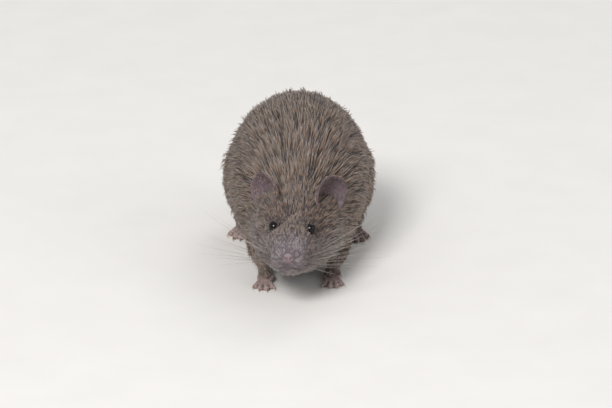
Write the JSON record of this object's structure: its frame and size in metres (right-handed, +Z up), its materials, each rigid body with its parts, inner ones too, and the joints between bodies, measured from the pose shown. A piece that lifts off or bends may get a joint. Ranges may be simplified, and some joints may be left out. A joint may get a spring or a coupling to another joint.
{
  "type": "short-tailed field mouse",
  "caption": "Life-size still model of a short-tailed field mouse crouched on all fours, with small ears, a blunt muzzle and a short tail laid on the floor.",
  "frame": {"origin": "floor under the middle of the bounding box", "axes": "-Y towards the nose, +Y towards the tail, +X to the animal's left, +Z up"},
  "size_m": [0.0392, 0.1096, 0.0382],
  "materials": {
    "coat": "dense short grizzled brown fur",
    "skin": "bare or thinly haired skin",
    "eye": "wet black gloss",
    "claw": "pale horn"
  },
  "bodies": {
    "root": {"ear_left": "skin", "ear_right": "skin", "eye_left": "eye", "eye_right": "eye", "forearm_left": "coat", "forearm_right": "coat", "forepaw_left": "skin", "forepaw_left_claw_1": "claw", "forepaw_left_claw_2": "claw", "forepaw_left_claw_3": "claw", "forepaw_left_claw_4": "claw", "forepaw_right": "skin", "forepaw_right_claw_1": "claw", "forepaw_right_claw_2": "claw", "forepaw_right_claw_3": "claw", "forepaw_right_claw_4": "claw", "head": "coat", "hindpaw_left": "skin", "hindpaw_left_claw_1": "claw", "hindpaw_left_claw_2": "claw", "hindpaw_left_claw_3": "claw", "hindpaw_left_claw_4": "claw", "hindpaw_left_claw_5": "claw", "hindpaw_right": "skin", "hindpaw_right_claw_1": "claw", "hindpaw_right_claw_2": "claw", "hindpaw_right_claw_3": "claw", "hindpaw_right_claw_4": "claw", "hindpaw_right_claw_5": "claw", "neck": "coat", "nose": "skin", "shank_left": "coat", "shank_right": "coat", "tail_middle": "skin", "tail_root": "skin", "tail_tip": "skin", "thigh_left": "coat", "thigh_right": "coat", "trunk": "coat", "upper_foreleg_left": "coat", "upper_foreleg_right": "coat"}
  },
  "joints": []
}
